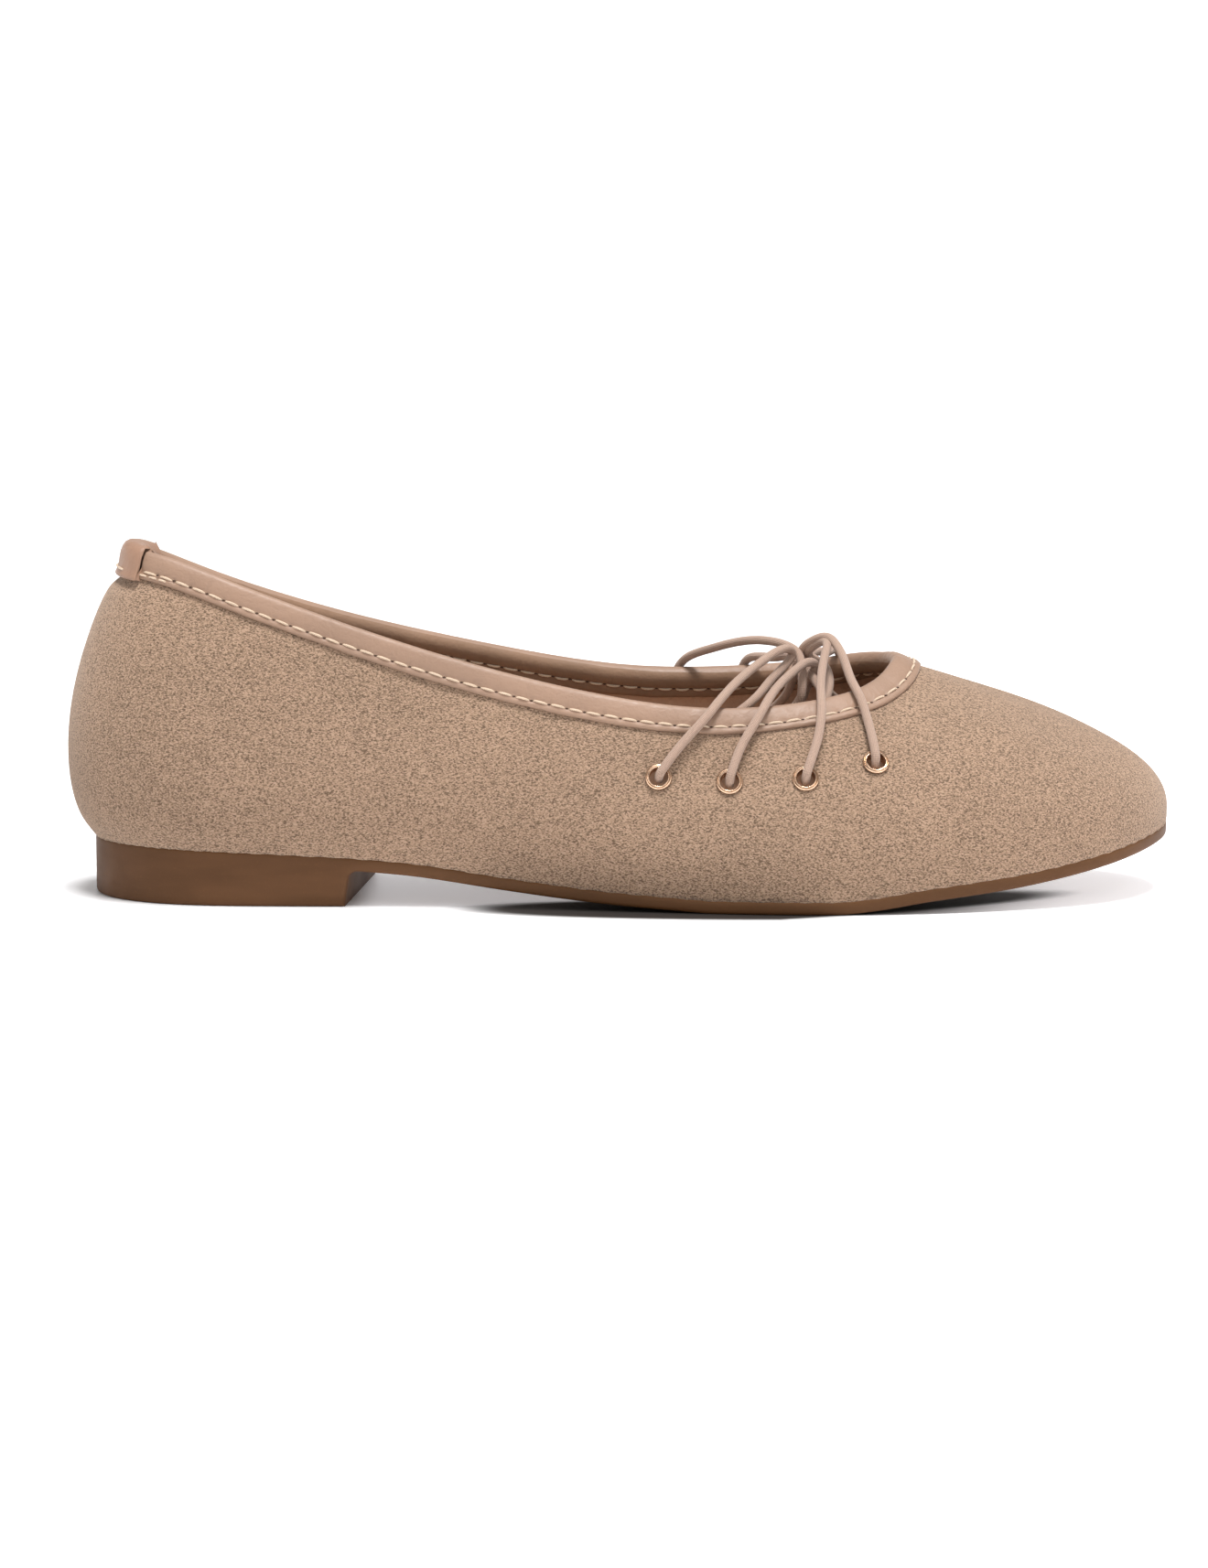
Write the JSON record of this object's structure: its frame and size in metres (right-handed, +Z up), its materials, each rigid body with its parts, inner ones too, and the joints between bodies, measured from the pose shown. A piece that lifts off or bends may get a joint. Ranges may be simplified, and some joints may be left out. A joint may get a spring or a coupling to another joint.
{
  "type": "ballet flat",
  "caption": "Women's ballet flat for the right foot with a suede upper, leather topline binding, side eyelets, elastic cord gathered over the throat and a thin rubber sole with a low heel.",
  "frame": {"origin": "on the floor at the middle of the heel block's flat base", "axes": "+X to the toe along the shoe, +Y to the inner (medial) side, +Z up"},
  "size_m": [0.2493, 0.0823, 0.0803],
  "materials": {
    "sole_rubber": "satin moulded",
    "insole_leather": "matt",
    "upper_suede": "napped suede",
    "binding_leather": "smooth satin",
    "eyelet_metal": "polished light gold",
    "elastic_cord": "fine knit"
  },
  "bodies": {
    "root": {"outsole": "sole_rubber", "insole": "insole_leather", "upper": "upper_suede", "topline_binding": "binding_leather", "heel_tab": "binding_leather", "eyelet_lateral_1": "eyelet_metal", "eyelet_lateral_2": "eyelet_metal", "eyelet_lateral_3": "eyelet_metal", "eyelet_lateral_4": "eyelet_metal", "eyelet_medial_1": "eyelet_metal", "eyelet_medial_2": "eyelet_metal", "eyelet_medial_3": "eyelet_metal", "eyelet_medial_4": "eyelet_metal", "lace_lateral": "elastic_cord", "lace_medial": "elastic_cord", "lace_knot": "elastic_cord"}
  },
  "joints": []
}
